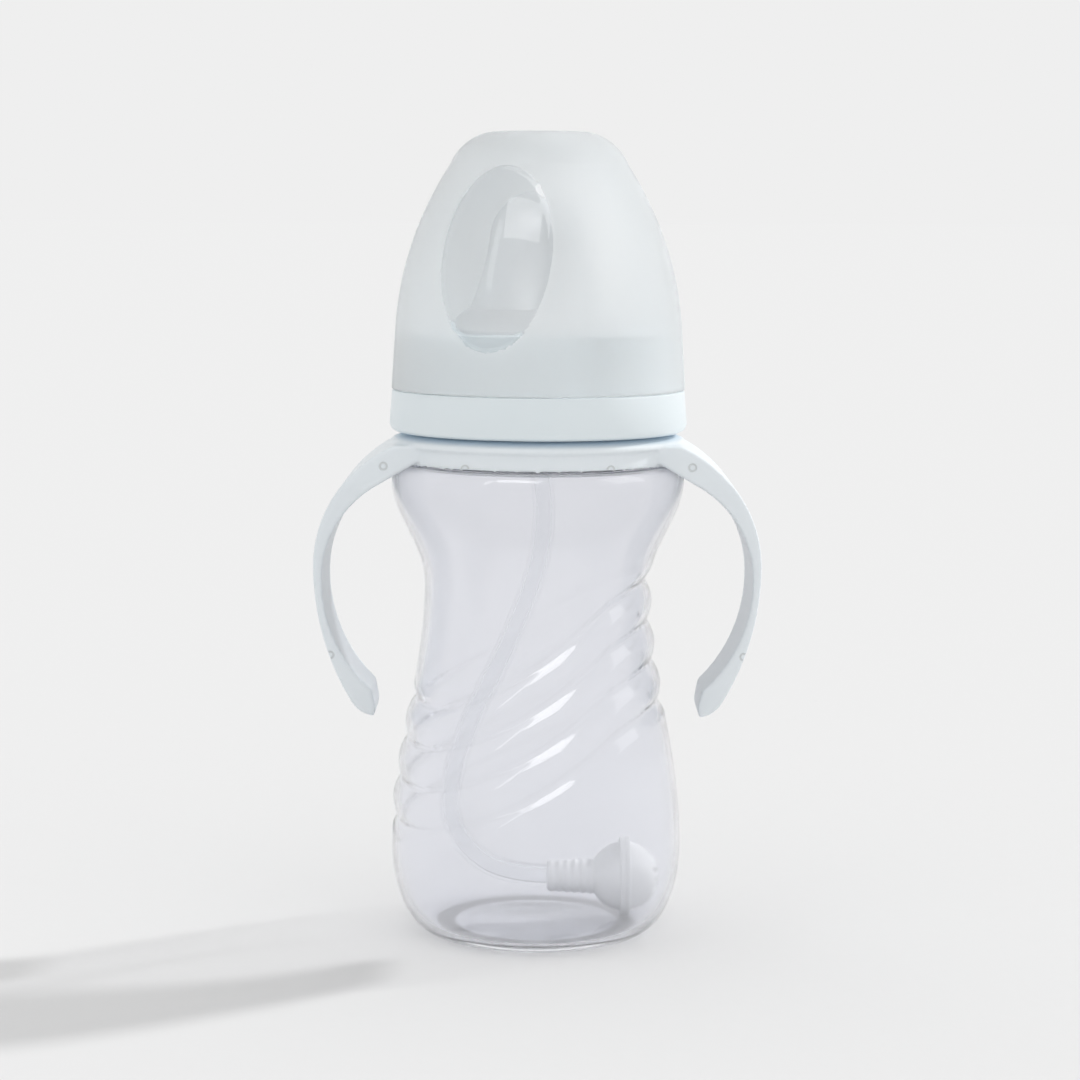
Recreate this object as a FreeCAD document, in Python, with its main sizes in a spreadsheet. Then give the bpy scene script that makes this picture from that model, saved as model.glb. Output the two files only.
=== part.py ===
import FreeCAD, Part
import math
import os

import Sketcher
from FreeCAD import Rotation, Vector

# A wide-neck baby bottle: blown body with tilted grip rings, handle frame, screw ring, teat,
# straw seat, silicone straw with a weighted end, and a hood with two clear windows.
# Millimetres. +Z is up the bottle's axis, the handles lie along X, z = 0 is the table.

DRIVING = {
    # bottle body
    "foot_radius": 23.0, "foot_dish": 0.8, "foot_land": 4.5,
    "belly_radius": 32.9, "belly_height": 20.0,
    "waist_radius": 25.5, "waist_height": 80.0,
    "shoulder_radius": 33.0, "shoulder_height": 103.6, "shoulder_round": 4.5,
    "body_wall": 1.4, "floor_wall": 2.0, "lip_edge": 0.6,
    # grip grooves round the body, in planes tilted about Y
    "grip_first": 40.4, "grip_step": 9.0, "grip_tilt": 13.2, "grip_groove": 1.05, "grip_swell": 0.35,
    "grip_fade": 3.2, "grip_sag": 4.4,
    # neck and thread
    "neck_inset": 6.7, "neck_wall": 2.3, "neck_rise": 18.0,
    "thread_pitch": 5.0, "thread_depth": 1.25, "thread_root": 2.0, "thread_crest": 1.0,
    "thread_drop": 13.5, "thread_turns": 1.5, "thread_sink": 0.2, "thread_offset": 1.6,
    # handle frame
    "frame_height": 5.9, "frame_clear": 0.35, "frame_plate": 2.3, "frame_land": 4.1, "rim_drop": 1.4,
    "rim_face": 1.3, "skirt_inset": 1.3, "skirt_wall": 2.0, "skirt_clear": 0.35,
    "wing_out": 16.8, "wing_level_drop": 30.0, "wing_inner_level_drop": 33.0,
    "wing_upper_radius": 30.75, "wing_lower_radius": 62.0, "wing_inner_radius": 25.1,
    "wing_inner_lower_radius": 33.7, "wing_thickness": 2.0, "wing_root_half_width": 19.0,
    "wing_middle_half_width": 13.6, "wing_tip_half_width": 9.0, "wing_nose_half_width": 7.0,
    "wing_root_drop": 0.5, "wing_root_gap": 1.6, "wing_root_in": 9.0, "wing_root_depth": 1.5,
    "wing_length": 30.5, "wing_tip_round": 6.5, "wing_nose_across": 5.1, "wing_nose_drop": 3.6,
    "paddle_drop": 24.7, "paddle_length": 4.3, "paddle_lean": 0.9,
    # screw ring
    "ring_gap": 0.2, "ring_step": 3.4, "ring_draft": 0.6, "ring_bevel": 1.5, "ring_wall": 2.0,
    "ring_clear": 0.45, "ring_plate": 1.9, "ring_lip": 7.4, "ring_edge": 1.0, "ring_turns": 1.25,
    "ring_band": 9.3,
    # teat
    "flange_clear": 1.7, "flange_height": 2.4, "flange_gap": 0.05, "teat_clear": 0.3, "teat_wall": 1.9,
    "skirt_depth": 3.4, "teat_mouth_clear": 0.3, "waist_rise": 0.7, "breast_inset": 4.9,
    "breast_rise": 5.2, "nipple_inset": 4.6, "nipple_rise": 22.2, "nipple_round": 11.0,
    "teat_rise": 31.2, "nipple_wall": 1.6, "milk_hole": 0.4,
    # straw seat
    "seat_thickness": 1.1, "seat_bite": 1.0, "seat_clear": 0.05, "seat_lift": 1.0, "hub_radius": 4.2,
    "hub_height": 2.2, "spigot_length": 8.0, "spigot_clear": 0.05, "spigot_bore": 0.9,
    "vent_radius": 0.8, "vent_inset": 8.8,
    # straw and weighted end
    "straw_radius": 2.5, "straw_bore": 1.6, "straw_gap": 0.4,
    "weight_x": 20.4, "weight_y": 1.6, "weight_floor_gap": 0.3, "weight_radius": 8.0,
    "flange_rise": 1.1, "weight_flange_half": 1.15, "weight_wall": 1.5, "weight_neck_length": 9.8,
    "socket_wall": 0.75, "weight_neck_taper": 0.6, "socket_depth": 3.0, "socket_clear": 0.05,
    "slug_inset": 1.3, "slug_gap": 0.3, "slug_bore": 2.0,
    "slit_width": 1.0, "slit_length": 8.0, "slit_step": 2.2, "slit_depth": 4.0,
    # hood
    "hood_gap": 0.1, "hood_inset": 0.5, "hood_wall": 1.5, "hood_straight": 15.0, "hood_taper": 0.9,
    "hood_height": 57.0, "hood_side_round": 75.0, "hood_shoulder_inset": 13.0,
    "hood_shoulder_drop": 7.2, "hood_shoulder_slope": 33.0, "hood_top_inset": 8.9, "hood_top_round": 12.0,
    "window_half_width": 12.6, "window_half_height": 20.0, "window_drop": 27.6, "window_turn": 20.0,
    "window_depth": 0.5,
}

DERIVED = {
    "groove_total": "=grip_groove + grip_swell",
    "thread_root_half": "=thread_root / 2",
    "thread_crest_half": "=thread_crest / 2",
    "neck_radius": "=shoulder_radius - neck_inset",
    "neck_bore": "=neck_radius - neck_wall",
    "shoulder_top": "=shoulder_height + shoulder_round",
    "frame_top": "=shoulder_top + frame_height",
    "lip_height": "=frame_top + neck_rise",
    "thread_start": "=lip_height - thread_drop",
    "frame_bore": "=neck_radius + frame_clear",
    "rim_radius": "=shoulder_radius",
    "rim_top": "=frame_top - rim_drop",
    "rim_bottom": "=rim_top - rim_face",
    "skirt_radius": "=shoulder_radius - skirt_inset",
    "wing_reach": "=shoulder_radius + wing_out",
    "wing_level": "=frame_top - wing_level_drop",
    "wing_inner_level": "=frame_top - wing_inner_level_drop",
    "wing_root_top": "=rim_top - wing_root_drop",
    "wing_root_x": "=wing_reach - wing_upper_radius "
                   "+ sqrt(wing_upper_radius^2 - (wing_root_top - wing_level)^2)",
    "wing_tip_height": "=wing_level - wing_length",
    "wing_tip_x": "=wing_reach - wing_lower_radius + sqrt(wing_lower_radius^2 - wing_length^2)",
    "paddle_height": "=wing_inner_level - paddle_drop",
    "paddle_x": "=wing_reach - wing_thickness - wing_inner_lower_radius "
                "+ sqrt(wing_inner_lower_radius^2 - paddle_drop^2)",
    "ring_bottom": "=frame_top + ring_gap",
    "ring_top": "=lip_height + flange_height + flange_gap + ring_plate",
    "ring_bore": "=neck_radius + thread_depth + ring_clear",
    "ring_mouth": "=ring_bore - ring_lip",
    "ring_upper_radius": "=ring_bore + ring_wall",
    "ring_rim_radius": "=ring_upper_radius + ring_step",
    "hood_seat": "=ring_bottom + ring_band",
    "hood_bottom": "=hood_seat + hood_gap",
    "hood_top": "=hood_bottom + hood_height",
    "hood_radius": "=ring_rim_radius - hood_inset",
    "hood_shoulder_radius": "=hood_radius - hood_shoulder_inset",
    "hood_top_radius": "=hood_shoulder_radius - hood_top_inset",
    "teat_skirt_radius": "=neck_bore - teat_clear",
    "teat_bore": "=teat_skirt_radius - teat_wall",
    "teat_waist": "=ring_mouth - teat_mouth_clear",
    "breast_radius": "=teat_waist - breast_inset",
    "nipple_radius": "=breast_radius - nipple_inset",
    "flange_radius": "=ring_bore - flange_clear",
    "waist_top": "=ring_top + waist_rise",
    "breast_height": "=ring_top + breast_rise",
    "nipple_height": "=ring_top + nipple_rise",
    "teat_tip": "=ring_top + teat_rise",
    "seat_radius": "=teat_bore + seat_bite",
    "vent_place": "=seat_radius - vent_inset",
    "seat_bottom": "=lip_height - skirt_depth + seat_lift",
    "seat_top": "=seat_bottom + seat_thickness",
    "straw_top": "=seat_bottom - straw_gap",
    "spigot_radius": "=straw_bore - spigot_clear",
    "socket_radius": "=straw_radius + socket_clear",
    "weight_neck_end": "=socket_radius + socket_wall",
    "weight_neck_radius": "=weight_neck_end + weight_neck_taper",
    "weight_flange": "=weight_radius + flange_rise",
    "weight_z": "=floor_wall + weight_flange + weight_floor_gap",
    "weight_cavity": "=weight_radius - weight_wall",
    "weight_flange_foot": "=sqrt(weight_radius^2 - weight_flange_half^2)",
    "weight_neck_start": "=sqrt(weight_radius^2 - weight_neck_radius^2)",
    "weight_neck_reach": "=weight_radius + weight_neck_length",
    "weight_cavity_start": "=sqrt(weight_cavity^2 - straw_bore^2)",
    "slug_radius": "=weight_cavity - slug_inset",
    "slug_half": "=sqrt(weight_cavity^2 - slug_radius^2) - slug_gap",
    "neck_end_x": "=weight_x - weight_neck_reach",
    "hood_shoulder_height": "=hood_top - hood_shoulder_drop",
    "hood_wall_across": "=hood_wall * cos(hood_shoulder_slope)",
    "hood_wall_up": "=hood_wall * sin(hood_shoulder_slope)",
    "window_depth_across": "=window_depth * cos(hood_shoulder_slope)",
    "window_depth_up": "=window_depth * sin(hood_shoulder_slope)",
}

# The straw's route under the seat: x, y and the share of the way up from its weighted end's axis
STRAW_ROUTE = [(0.0, 0.0, 0.84), (2.4, 0.9, 0.67), (-5.0, 1.6, 0.48), (-15.3, 2.2, 0.31),
               (-21.0, 2.4, 0.15), (-17.0, 2.2, 0.058), (-6.9, 1.6, 0.0)]
STRAW_END = 2.7         # how far the straw reaches into the weighted end's neck
ARC_SHARE = 0.45        # part of the shorter run that an arc of the straw takes up
GRIP_GROOVES = 4
GRIP_SHARPNESS = 0.8    # below 1 the ridges are round and the grooves sharp
SAG_START = math.pi     # the grooves sag on the front, from the left-hand side
SAG_SPAN = 2.27         # round to this much further on, in radians
COLUMNS = 64            # points round the body's surface
ROW_STEP = 1.5          # between rows of the body's surface
FOOT_ROWS = 8
SHOULDER_ROWS = 6
SLITS = 3

doc = FreeCAD.newDocument("BabyBottle")
sheet = doc.addObject("Spreadsheet::Sheet", "Sizes")


def fill_sheet():
    """Writes each named size into the sheet under its alias."""
    rows = list(DRIVING.items()) + list(DERIVED.items())
    for row, (name, value) in enumerate(rows, start=1):
        sheet.set(f"A{row}", name)
        sheet.set(f"B{row}", str(value))
        sheet.setAlias(f"B{row}", name)
    doc.recompute()


def size(name):
    return float(sheet.get(name))


def measure(text):
    """(number, expression) of a sum such as 'lip_height + flange_height - 0.4'."""
    value, sign, parts = 0.0, 1.0, []
    for word in text.split():
        if word in "+-":
            sign = 1.0 if word == "+" else -1.0
            parts.append(word)
            continue
        plain = word.replace(".", "").isdigit()
        value += sign * (float(word) if plain else size(word))
        parts.append(f"{word} mm" if plain else f"Sizes.{word} * 1 mm")
    return value, " ".join(parts)


def circle_centre(start, end, radius, side):
    """Centre of the arc of that radius from start to end, on the left (1) or right (-1) of the way."""
    chord = end - start
    middle = (start + end) * 0.5
    reach = math.sqrt(max(radius * radius - chord.Length ** 2 / 4, 0.0))
    left = Vector(-chord.y, chord.x, 0).normalize()
    return middle + left * (reach * side)


def draw(sketch, corners, arcs=None):
    """Closed outline whose corners, and the radii of its arcs, are bound to the sheet.

    corners: (across, up) texts. arcs: {index of the edge: (radius text, side of the centre)}.
    """
    arcs = arcs or {}
    measured = [(measure(across), measure(up)) for across, up in corners]
    points = [Vector(a[0], b[0], 0) for a, b in measured]
    for i, start in enumerate(points):
        end = points[(i + 1) % len(points)]
        if i not in arcs:
            sketch.addGeometry(Part.LineSegment(start, end))
            continue
        radius, side = measure(arcs[i][0])[0], arcs[i][1]
        centre = circle_centre(start, end, radius, side)
        first, last = (start, end) if side > 0 else (end, start)
        turn = [math.atan2(p.y - centre.y, p.x - centre.x) for p in (first, last)]
        circle = Part.Circle(centre, Vector(0, 0, 1), radius)
        sketch.addGeometry(Part.ArcOfCircle(circle, turn[0], turn[1]))
    ends = [(2, 1) if i in arcs and arcs[i][1] < 0 else (1, 2) for i in range(len(points))]
    for i in range(len(points)):
        after = (i + 1) % len(points)
        sketch.addConstraint(Sketcher.Constraint("Coincident", i, ends[i][1], after, ends[after][0]))
    for i, (across, up) in enumerate(measured):
        for word, (value, text) in (("DistanceX", across), ("DistanceY", up)):
            at = sketch.addConstraint(Sketcher.Constraint(word, -1, 1, i, ends[i][0], value))
            sketch.setExpression(f"Constraints[{at}]", text)
    for i, (radius, _) in arcs.items():
        value, text = measure(radius)
        at = sketch.addConstraint(Sketcher.Constraint("Radius", i, value))
        sketch.setExpression(f"Constraints[{at}]", text)


def body_sketch(body, name, corners, arcs=None):
    """A sketch on the body's own XZ plane."""
    sketch = body.newObject("Sketcher::SketchObject", name)
    origin = next(f for f in body.Origin.OriginFeatures if f.Role == "XZ_Plane")
    sketch.AttachmentSupport = [(origin, "")]
    sketch.MapMode = "FlatFace"
    draw(sketch, corners, arcs)
    return sketch


def loose_sketch(name, rotation, corners, arcs=None):
    """A sketch for the Part tools, turned from XY by rotation."""
    sketch = doc.addObject("Sketcher::SketchObject", name)
    sketch.Placement.Rotation = rotation
    draw(sketch, corners, arcs)
    return sketch


UPRIGHT = Rotation(Vector(1, 0, 0), 90)                                   # sketch across = X, up = Z
SIDEWAYS = Rotation(Vector(0, 0, 1), 90).multiply(UPRIGHT)                # sketch across = Y, up = Z


def turned(name, corners, arcs=None):
    """A PartDesign body turned about its own Z from an outline of (radius, height) corners."""
    body = doc.addObject("PartDesign::Body", name)
    sketch = body_sketch(body, f"{name}_outline", corners, arcs)
    turn = body.newObject("PartDesign::Revolution", f"{name}_turn")
    turn.Profile = sketch
    turn.ReferenceAxis = (sketch, ["V_Axis"])
    turn.Angle = 360
    sketch.Visibility = False
    doc.recompute()
    return body


def joined(kind, name, pieces):
    """Part::MultiFuse or Part::MultiCommon of the pieces."""
    result = doc.addObject(kind, name)
    result.Shapes = pieces
    result.Refine = False
    doc.recompute()
    return result


def cut(name, base, tool):
    result = doc.addObject("Part::Cut", name)
    result.Base = base
    result.Tool = tool
    result.Refine = False
    doc.recompute()
    return result


def rod(name, radius, height, across, up):
    """A Part::Cylinder along Z whose radius, height and place are bound to the sheet."""
    cylinder = doc.addObject("Part::Cylinder", name)
    cylinder.setExpression("Radius", measure(radius)[1])
    cylinder.setExpression("Height", measure(height)[1])
    cylinder.setExpression("Placement.Base.x", measure(across)[1])
    cylinder.setExpression("Placement.Base.z", measure(up)[1])
    doc.recompute()
    return cylinder


def extruded(name, profile, direction, length):
    """A Part::Extrusion of that length, half to each side of the profile."""
    solid = doc.addObject("Part::Extrusion", name)
    solid.Base = profile
    solid.DirMode = "Custom"
    solid.Dir = direction
    solid.Symmetric = True
    solid.Solid = True
    solid.setExpression("LengthFwd", measure(length)[1])
    doc.recompute()
    return solid


# ---------------------------------------------------------------- bottle body

def ease(share):
    """0 to 1 along half a cosine wave."""
    return (1 - math.cos(math.pi * min(max(share, 0.0), 1.0))) / 2


def grip(height, angle):
    """How far the grip moves the wall out (+) or in (-) at that place."""
    sag = size("grip_sag") * math.sin(math.pi * min(max((angle - SAG_START) / SAG_SPAN, 0.0), 1.0))
    along = height - size("grip_tilt") * math.cos(angle) + sag - size("grip_first")
    step = size("grip_step")
    last = step * (GRIP_GROOVES - 1)
    if 0 <= along <= last:
        swell = abs(math.sin(math.pi * along / step)) ** GRIP_SHARPNESS
        return swell * size("groove_total") - size("grip_groove")
    beyond = -along if along < 0 else along - last
    return -size("grip_groove") * (1 - ease(beyond / size("grip_fade")))


def wall_profile(inset, floor):
    """(radius, height) down the wall moved in by inset, from the floor to the shoulder's top."""
    foot, belly, belly_height = size("foot_radius"), size("belly_radius"), size("belly_height")
    waist, waist_height = size("waist_radius"), size("waist_height")
    shoulder, shoulder_height = size("shoulder_radius"), size("shoulder_height")
    points = []
    for row in range(FOOT_ROWS):
        turn = math.pi / 2 * row / FOOT_ROWS
        points.append((foot + (belly - foot - inset) * math.sin(turn),
                       belly_height - (belly_height - floor) * math.cos(turn)))
    rows = int(round((shoulder_height - belly_height) / ROW_STEP))
    for row in range(rows):
        height = belly_height + (shoulder_height - belly_height) * row / rows
        if height < waist_height:
            fall = ease((height - belly_height) / (waist_height - belly_height))
            radius = belly + (waist - belly) * fall
        else:
            rise = ease((height - waist_height) / (shoulder_height - waist_height))
            radius = waist + (shoulder - waist) * rise
        points.append((radius - inset, height))
    bend = size("shoulder_round") - inset
    for row in range(SHOULDER_ROWS):
        turn = math.pi / 2 * row / (SHOULDER_ROWS - 1)
        points.append((shoulder - size("shoulder_round") + bend * math.cos(turn),
                       shoulder_height + bend * math.sin(turn)))
    return points


def gripped_solid(inset, floor):
    """Closed solid inside the wall's surface moved in by inset."""
    rows = []
    for radius, height in wall_profile(inset, floor):
        row = []
        for column in range(COLUMNS):
            angle = 2 * math.pi * column / COLUMNS
            reach = radius + grip(height, angle)
            row.append(Vector(reach * math.cos(angle), reach * math.sin(angle), height))
        rows.append(row + [row[0]])
    surface = Part.BSplineSurface()
    surface.interpolate(rows)
    side = surface.toShape()
    rims = [edge for edge in side.Edges if edge.isClosed()]
    shell = Part.Shell([side] + [Part.Face(Part.Wire([rim])) for rim in rims])
    shell.sewShape()
    solid = Part.Solid(shell)
    if solid.Volume < 0:
        solid.reverse()
    return solid


def thread(name, root, crest, start, turns):
    """Helical rib with a trapezoid section, from the root radius to the crest radius."""
    helix = doc.addObject("Part::Helix", f"{name}_path")
    helix.setExpression("Pitch", "Sizes.thread_pitch * 1 mm")
    helix.setExpression("Height", f"Sizes.thread_pitch * Sizes.{turns} * 1 mm")
    helix.setExpression("Radius", measure(root)[1])
    helix.setExpression("Placement.Base.z", measure(start)[1])
    corners = [(root, f"{start} - thread_root_half"), (crest, f"{start} - thread_crest_half"),
               (crest, f"{start} + thread_crest_half"), (root, f"{start} + thread_root_half")]
    section = loose_sketch(f"{name}_section", UPRIGHT, corners)
    doc.recompute()
    sweep = doc.addObject("Part::Sweep", name)
    sweep.Sections = [section]
    sweep.Spine = (helix, ["Edge1"])
    sweep.Frenet = True
    sweep.Solid = True
    doc.recompute()
    return sweep


def make_bottle_body():
    """Thin gripped shell with a dished foot, open at the top into the threaded neck."""
    shell = doc.addObject("Part::Feature", "bottle_shell")
    hollow = gripped_solid(size("body_wall"), size("floor_wall"))
    shell.Shape = gripped_solid(0.0, 0.0).cut(hollow)
    mouth = rod("mouth_cutter", "neck_bore", "lip_height - shoulder_height", "0",
                "shoulder_height + lip_edge")
    dish = turned("foot_dish_cutter", [
        ("0", "- foot_dish"), ("foot_radius - foot_land", "- foot_dish"),
        ("foot_radius - foot_land", "0"), ("0", "foot_dish")])
    dished = cut("bottle_dished", cut("bottle_open", shell, mouth), dish)
    neck = turned("neck", [
        ("neck_bore", "shoulder_top - body_wall"), ("neck_radius", "shoulder_top - body_wall"),
        ("neck_radius", "lip_height - lip_edge"), ("neck_radius - lip_edge", "lip_height"),
        ("neck_bore + lip_edge", "lip_height"), ("neck_bore", "lip_height - lip_edge")])
    rib = thread("neck_thread", "neck_radius - thread_sink", "neck_radius + thread_depth",
                 "thread_start", "thread_turns")
    threaded = joined("Part::MultiFuse", "threaded_neck", [neck, rib])
    joined("Part::MultiFuse", "bottle_body", [dished, threaded])


# ---------------------------------------------------------------- handle frame

def frame_ring():
    """The ring that slips over the neck, with its rim and its skirt."""
    return turned("frame_ring", [
        ("frame_bore", "frame_top"), ("shoulder_radius - frame_land", "frame_top"),
        ("rim_radius", "rim_top"), ("rim_radius", "rim_bottom"), ("skirt_radius", "rim_bottom"),
        ("skirt_radius", "shoulder_height"), ("skirt_radius - skirt_wall", "shoulder_height"),
        ("skirt_radius - skirt_wall", "frame_top - frame_plate"), ("frame_bore", "frame_top - frame_plate")])


def wing_blank():
    """A wing's outline seen from the front, as a block."""
    corners = [
        ("rim_radius - wing_root_in", "wing_root_top"), ("wing_root_x", "wing_root_top"),
        ("wing_reach", "wing_level"), ("wing_tip_x", "wing_tip_height"),
        ("wing_tip_x - wing_nose_across", "wing_tip_height - wing_nose_drop"),
        ("paddle_x - paddle_lean", "paddle_height - paddle_length"), ("paddle_x", "paddle_height"),
        ("wing_reach - wing_thickness", "wing_inner_level"),
        ("shoulder_radius + wing_root_gap", "shoulder_height"),
        ("rim_radius - wing_root_in", "rim_bottom - wing_root_depth")]
    arcs = {1: ("wing_upper_radius", -1), 2: ("wing_lower_radius", -1), 3: ("wing_tip_round", -1),
            6: ("wing_inner_lower_radius", 1), 7: ("wing_inner_radius", 1)}
    outline = loose_sketch("wing_outline", UPRIGHT, corners, arcs)
    return extruded("wing_blank", outline, Vector(0, 1, 0), "wing_root_half_width + wing_root_half_width")


def wing_side():
    """How wide the wings are at each height, as a block that both pass through."""
    half = [("wing_root_half_width", "frame_top"), ("wing_root_half_width", "shoulder_height"),
            ("wing_middle_half_width", "wing_level"), ("wing_tip_half_width", "paddle_height"),
            ("wing_nose_half_width", "wing_tip_height - wing_nose_drop")]
    other = [(f"- {across}", up) for across, up in reversed(half)]
    outline = loose_sketch("wing_side", SIDEWAYS, half + other)
    return extruded("wing_side_block", outline, Vector(1, 0, 0), "wing_reach + wing_reach + wing_reach")


def make_handle_frame():
    right = wing_blank()
    left = doc.addObject("Part::Mirroring", "wing_mirrored")
    left.Source = right
    left.Normal = Vector(1, 0, 0)
    doc.recompute()
    wings = joined("Part::MultiCommon", "wings", [joined("Part::MultiFuse", "wing_pair", [right, left]),
                                                  wing_side()])
    fused = joined("Part::MultiFuse", "frame_fused", [frame_ring(), wings])
    room = turned("frame_room", [
        ("0", "wing_level"), ("shoulder_radius + skirt_clear", "wing_level"),
        ("shoulder_radius + skirt_clear", "shoulder_height"),
        ("shoulder_radius - shoulder_round", "shoulder_top + skirt_clear"),
        ("frame_bore", "shoulder_top + skirt_clear"), ("frame_bore", "frame_top + frame_plate"),
        ("0", "frame_top + frame_plate")], {2: ("shoulder_round + skirt_clear", 1)})
    cut("handle_frame", fused, room)


# ---------------------------------------------------------------- screw ring

def make_screw_ring():
    blank = turned("ring_blank", [
        ("ring_bore", "ring_bottom"), ("ring_rim_radius - ring_bevel", "ring_bottom"),
        ("ring_rim_radius", "ring_bottom + ring_bevel"), ("ring_rim_radius - ring_draft", "hood_seat"),
        ("ring_upper_radius", "hood_seat"), ("ring_upper_radius", "ring_top - ring_edge"),
        ("ring_upper_radius - ring_edge", "ring_top"), ("ring_mouth", "ring_top"),
        ("ring_mouth", "ring_top - ring_plate"), ("ring_bore", "ring_top - ring_plate")])
    rib = thread("ring_thread", "ring_bore + thread_sink", "ring_bore - thread_depth",
                 "thread_start - thread_offset", "ring_turns")
    joined("Part::MultiFuse", "screw_ring", [blank, rib])


# ---------------------------------------------------------------- teat and straw seat

def make_teat():
    corners = [
        ("teat_bore", "lip_height - skirt_depth"), ("teat_skirt_radius", "lip_height - skirt_depth"),
        ("teat_skirt_radius", "lip_height"), ("flange_radius", "lip_height"),
        ("flange_radius", "lip_height + flange_height"), ("teat_waist", "lip_height + flange_height"),
        ("teat_waist", "waist_top"), ("breast_radius", "breast_height"),
        ("nipple_radius", "nipple_height"), ("0", "teat_tip"), ("0", "teat_tip - nipple_wall"),
        ("nipple_radius - nipple_wall", "nipple_height"),
        ("breast_radius - nipple_wall", "breast_height - nipple_wall"),
        ("teat_waist - teat_wall", "waist_top - nipple_wall"),
        ("teat_waist - teat_wall", "lip_height + lip_edge"),
        ("teat_bore", "lip_height"), ("teat_bore", "seat_top + seat_clear"),
        ("seat_radius + seat_clear", "seat_top + seat_clear"),
        ("seat_radius + seat_clear", "seat_bottom - seat_clear"), ("teat_bore", "seat_bottom - seat_clear")]
    arcs = {8: ("nipple_round", 1), 10: ("nipple_round - nipple_wall", -1)}
    blank = turned("teat_blank", corners, arcs)
    hole = rod("milk_hole_cutter", "milk_hole", "nipple_radius + nipple_radius", "0",
               "teat_tip - nipple_radius")
    cut("teat", blank, hole)


def make_straw_seat():
    disc = turned("seat_disc", [
        ("spigot_bore", "seat_bottom - spigot_length"), ("spigot_radius", "seat_bottom - spigot_length"),
        ("spigot_radius", "seat_bottom"), ("seat_radius", "seat_bottom"), ("seat_radius", "seat_top"),
        ("hub_radius", "seat_top"), ("hub_radius - lip_edge", "seat_top + hub_height"),
        ("spigot_bore", "seat_top + hub_height")])
    vent = rod("vent_cutter", "vent_radius", "seat_thickness + hub_height", "vent_place",
               "seat_bottom - seat_thickness")
    cut("straw_seat", disc, vent)


# ---------------------------------------------------------------- straw and weighted end

def straw_route():
    """The straw's points, from the seat's spigot into the weighted end's neck."""
    low, high = size("weight_z"), size("straw_top")
    top = Vector(0, 0, high)
    end = Vector(size("neck_end_x") + STRAW_END, size("weight_y"), low)
    return [top] + [Vector(x, y, low + (high - low) * share) for x, y, share in STRAW_ROUTE] + [end]


def rounded_path(points):
    """(wire, radii) of straight runs joined by arcs tangent to them."""
    edges, radii, at = [], [], points[0]
    for before, corner, after in zip(points, points[1:], points[2:]):
        back, ahead = before - corner, after - corner
        half_turn = (math.pi - back.getAngle(ahead)) / 2
        reach = ARC_SHARE * min(back.Length, ahead.Length)
        radii.append(reach / math.tan(half_turn))
        start = corner + back.normalize() * reach
        end = corner + ahead.normalize() * reach
        inward = (back + ahead).normalize()
        middle = corner + inward * (radii[-1] / math.cos(half_turn) - radii[-1])
        edges.append(Part.LineSegment(at, start).toShape())
        edges.append(Part.Arc(start, middle, end).toShape())
        at = end
    edges.append(Part.LineSegment(at, points[-1]).toShape())
    return Part.Wire(edges), radii


def swept(wire, radius, points):
    """Round bar along the wire."""
    disc = Part.Circle(points[0], points[1] - points[0], radius)
    return wire.makePipeShell([Part.Wire([disc.toShape()])], True, True)


def make_straw():
    points = straw_route()
    wire, radii = rounded_path(points)
    outer, bore = size("straw_radius"), size("straw_bore")
    straw = doc.addObject("Part::Feature", "straw_tube")
    straw.Shape = swept(wire, outer, points).cut(swept(wire, bore, points))
    wanted = math.pi * (outer ** 2 - bore ** 2) * wire.Length
    print("straw length", round(wire.Length, 1), "arc radii", [round(radius, 1) for radius in radii])
    print("straw volume", round(straw.Shape.Volume, 1), "section times length", round(wanted, 1))


def lay_along_x(body):
    """Turns a body's own Z to +X and puts it at the weighted end's centre."""
    body.Placement.Rotation = Rotation(Vector(0, 1, 0), 90)
    for axis in "xyz":
        body.setExpression(f"Placement.Base.{axis}", f"Sizes.weight_{axis} * 1 mm")
    doc.recompute()
    return body


def make_weight_neck_half():
    corners = [
        ("weight_cavity", "0"), ("weight_flange", "0"), ("weight_flange", "- weight_flange_half"),
        ("weight_flange_foot", "- weight_flange_half"), ("weight_neck_radius", "- weight_neck_start"),
        ("weight_neck_end", "- weight_neck_reach"), ("socket_radius", "- weight_neck_reach"),
        ("socket_radius", "socket_depth - weight_neck_reach"),
        ("straw_bore", "socket_depth - weight_neck_reach"),
        ("straw_bore", "- weight_cavity_start")]
    arcs = {3: ("weight_radius", -1), 9: ("weight_cavity", 1)}
    lay_along_x(turned("weight_neck_half", corners, arcs))


def make_weight_inlet_half():
    corners = [("0", "weight_cavity"), ("0", "weight_radius"), ("weight_flange_foot", "weight_flange_half"),
               ("weight_flange", "weight_flange_half"), ("weight_flange", "0"), ("weight_cavity", "0")]
    arcs = {1: ("weight_radius", -1), 5: ("weight_cavity", 1)}
    dome = lay_along_x(turned("inlet_dome", corners, arcs))
    slits = []
    for count in range(SLITS):
        slit = doc.addObject("Part::Box", f"slit_{count + 1}")
        shift = count - (SLITS - 1) / 2
        slit.setExpression("Length", measure("slit_depth + slit_depth")[1])
        slit.setExpression("Width", measure("slit_length")[1])
        slit.setExpression("Height", measure("slit_width")[1])
        slit.setExpression("Placement.Base.x", measure("weight_x + weight_radius - slit_depth")[1])
        slit.setExpression("Placement.Base.y", "(Sizes.weight_y - Sizes.slit_length / 2) * 1 mm")
        slit.setExpression("Placement.Base.z",
                           f"(Sizes.weight_z - Sizes.slit_width / 2 + ({shift}) * Sizes.slit_step) * 1 mm")
        slits.append(slit)
    cut("weight_inlet_half", dome, joined("Part::MultiFuse", "slits", slits))


def make_weight_slug():
    lay_along_x(turned("weight_slug", [
        ("slug_bore", "- slug_half"), ("slug_radius", "- slug_half"), ("slug_radius", "slug_half"),
        ("slug_bore", "slug_half")]))


# ---------------------------------------------------------------- hood

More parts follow.
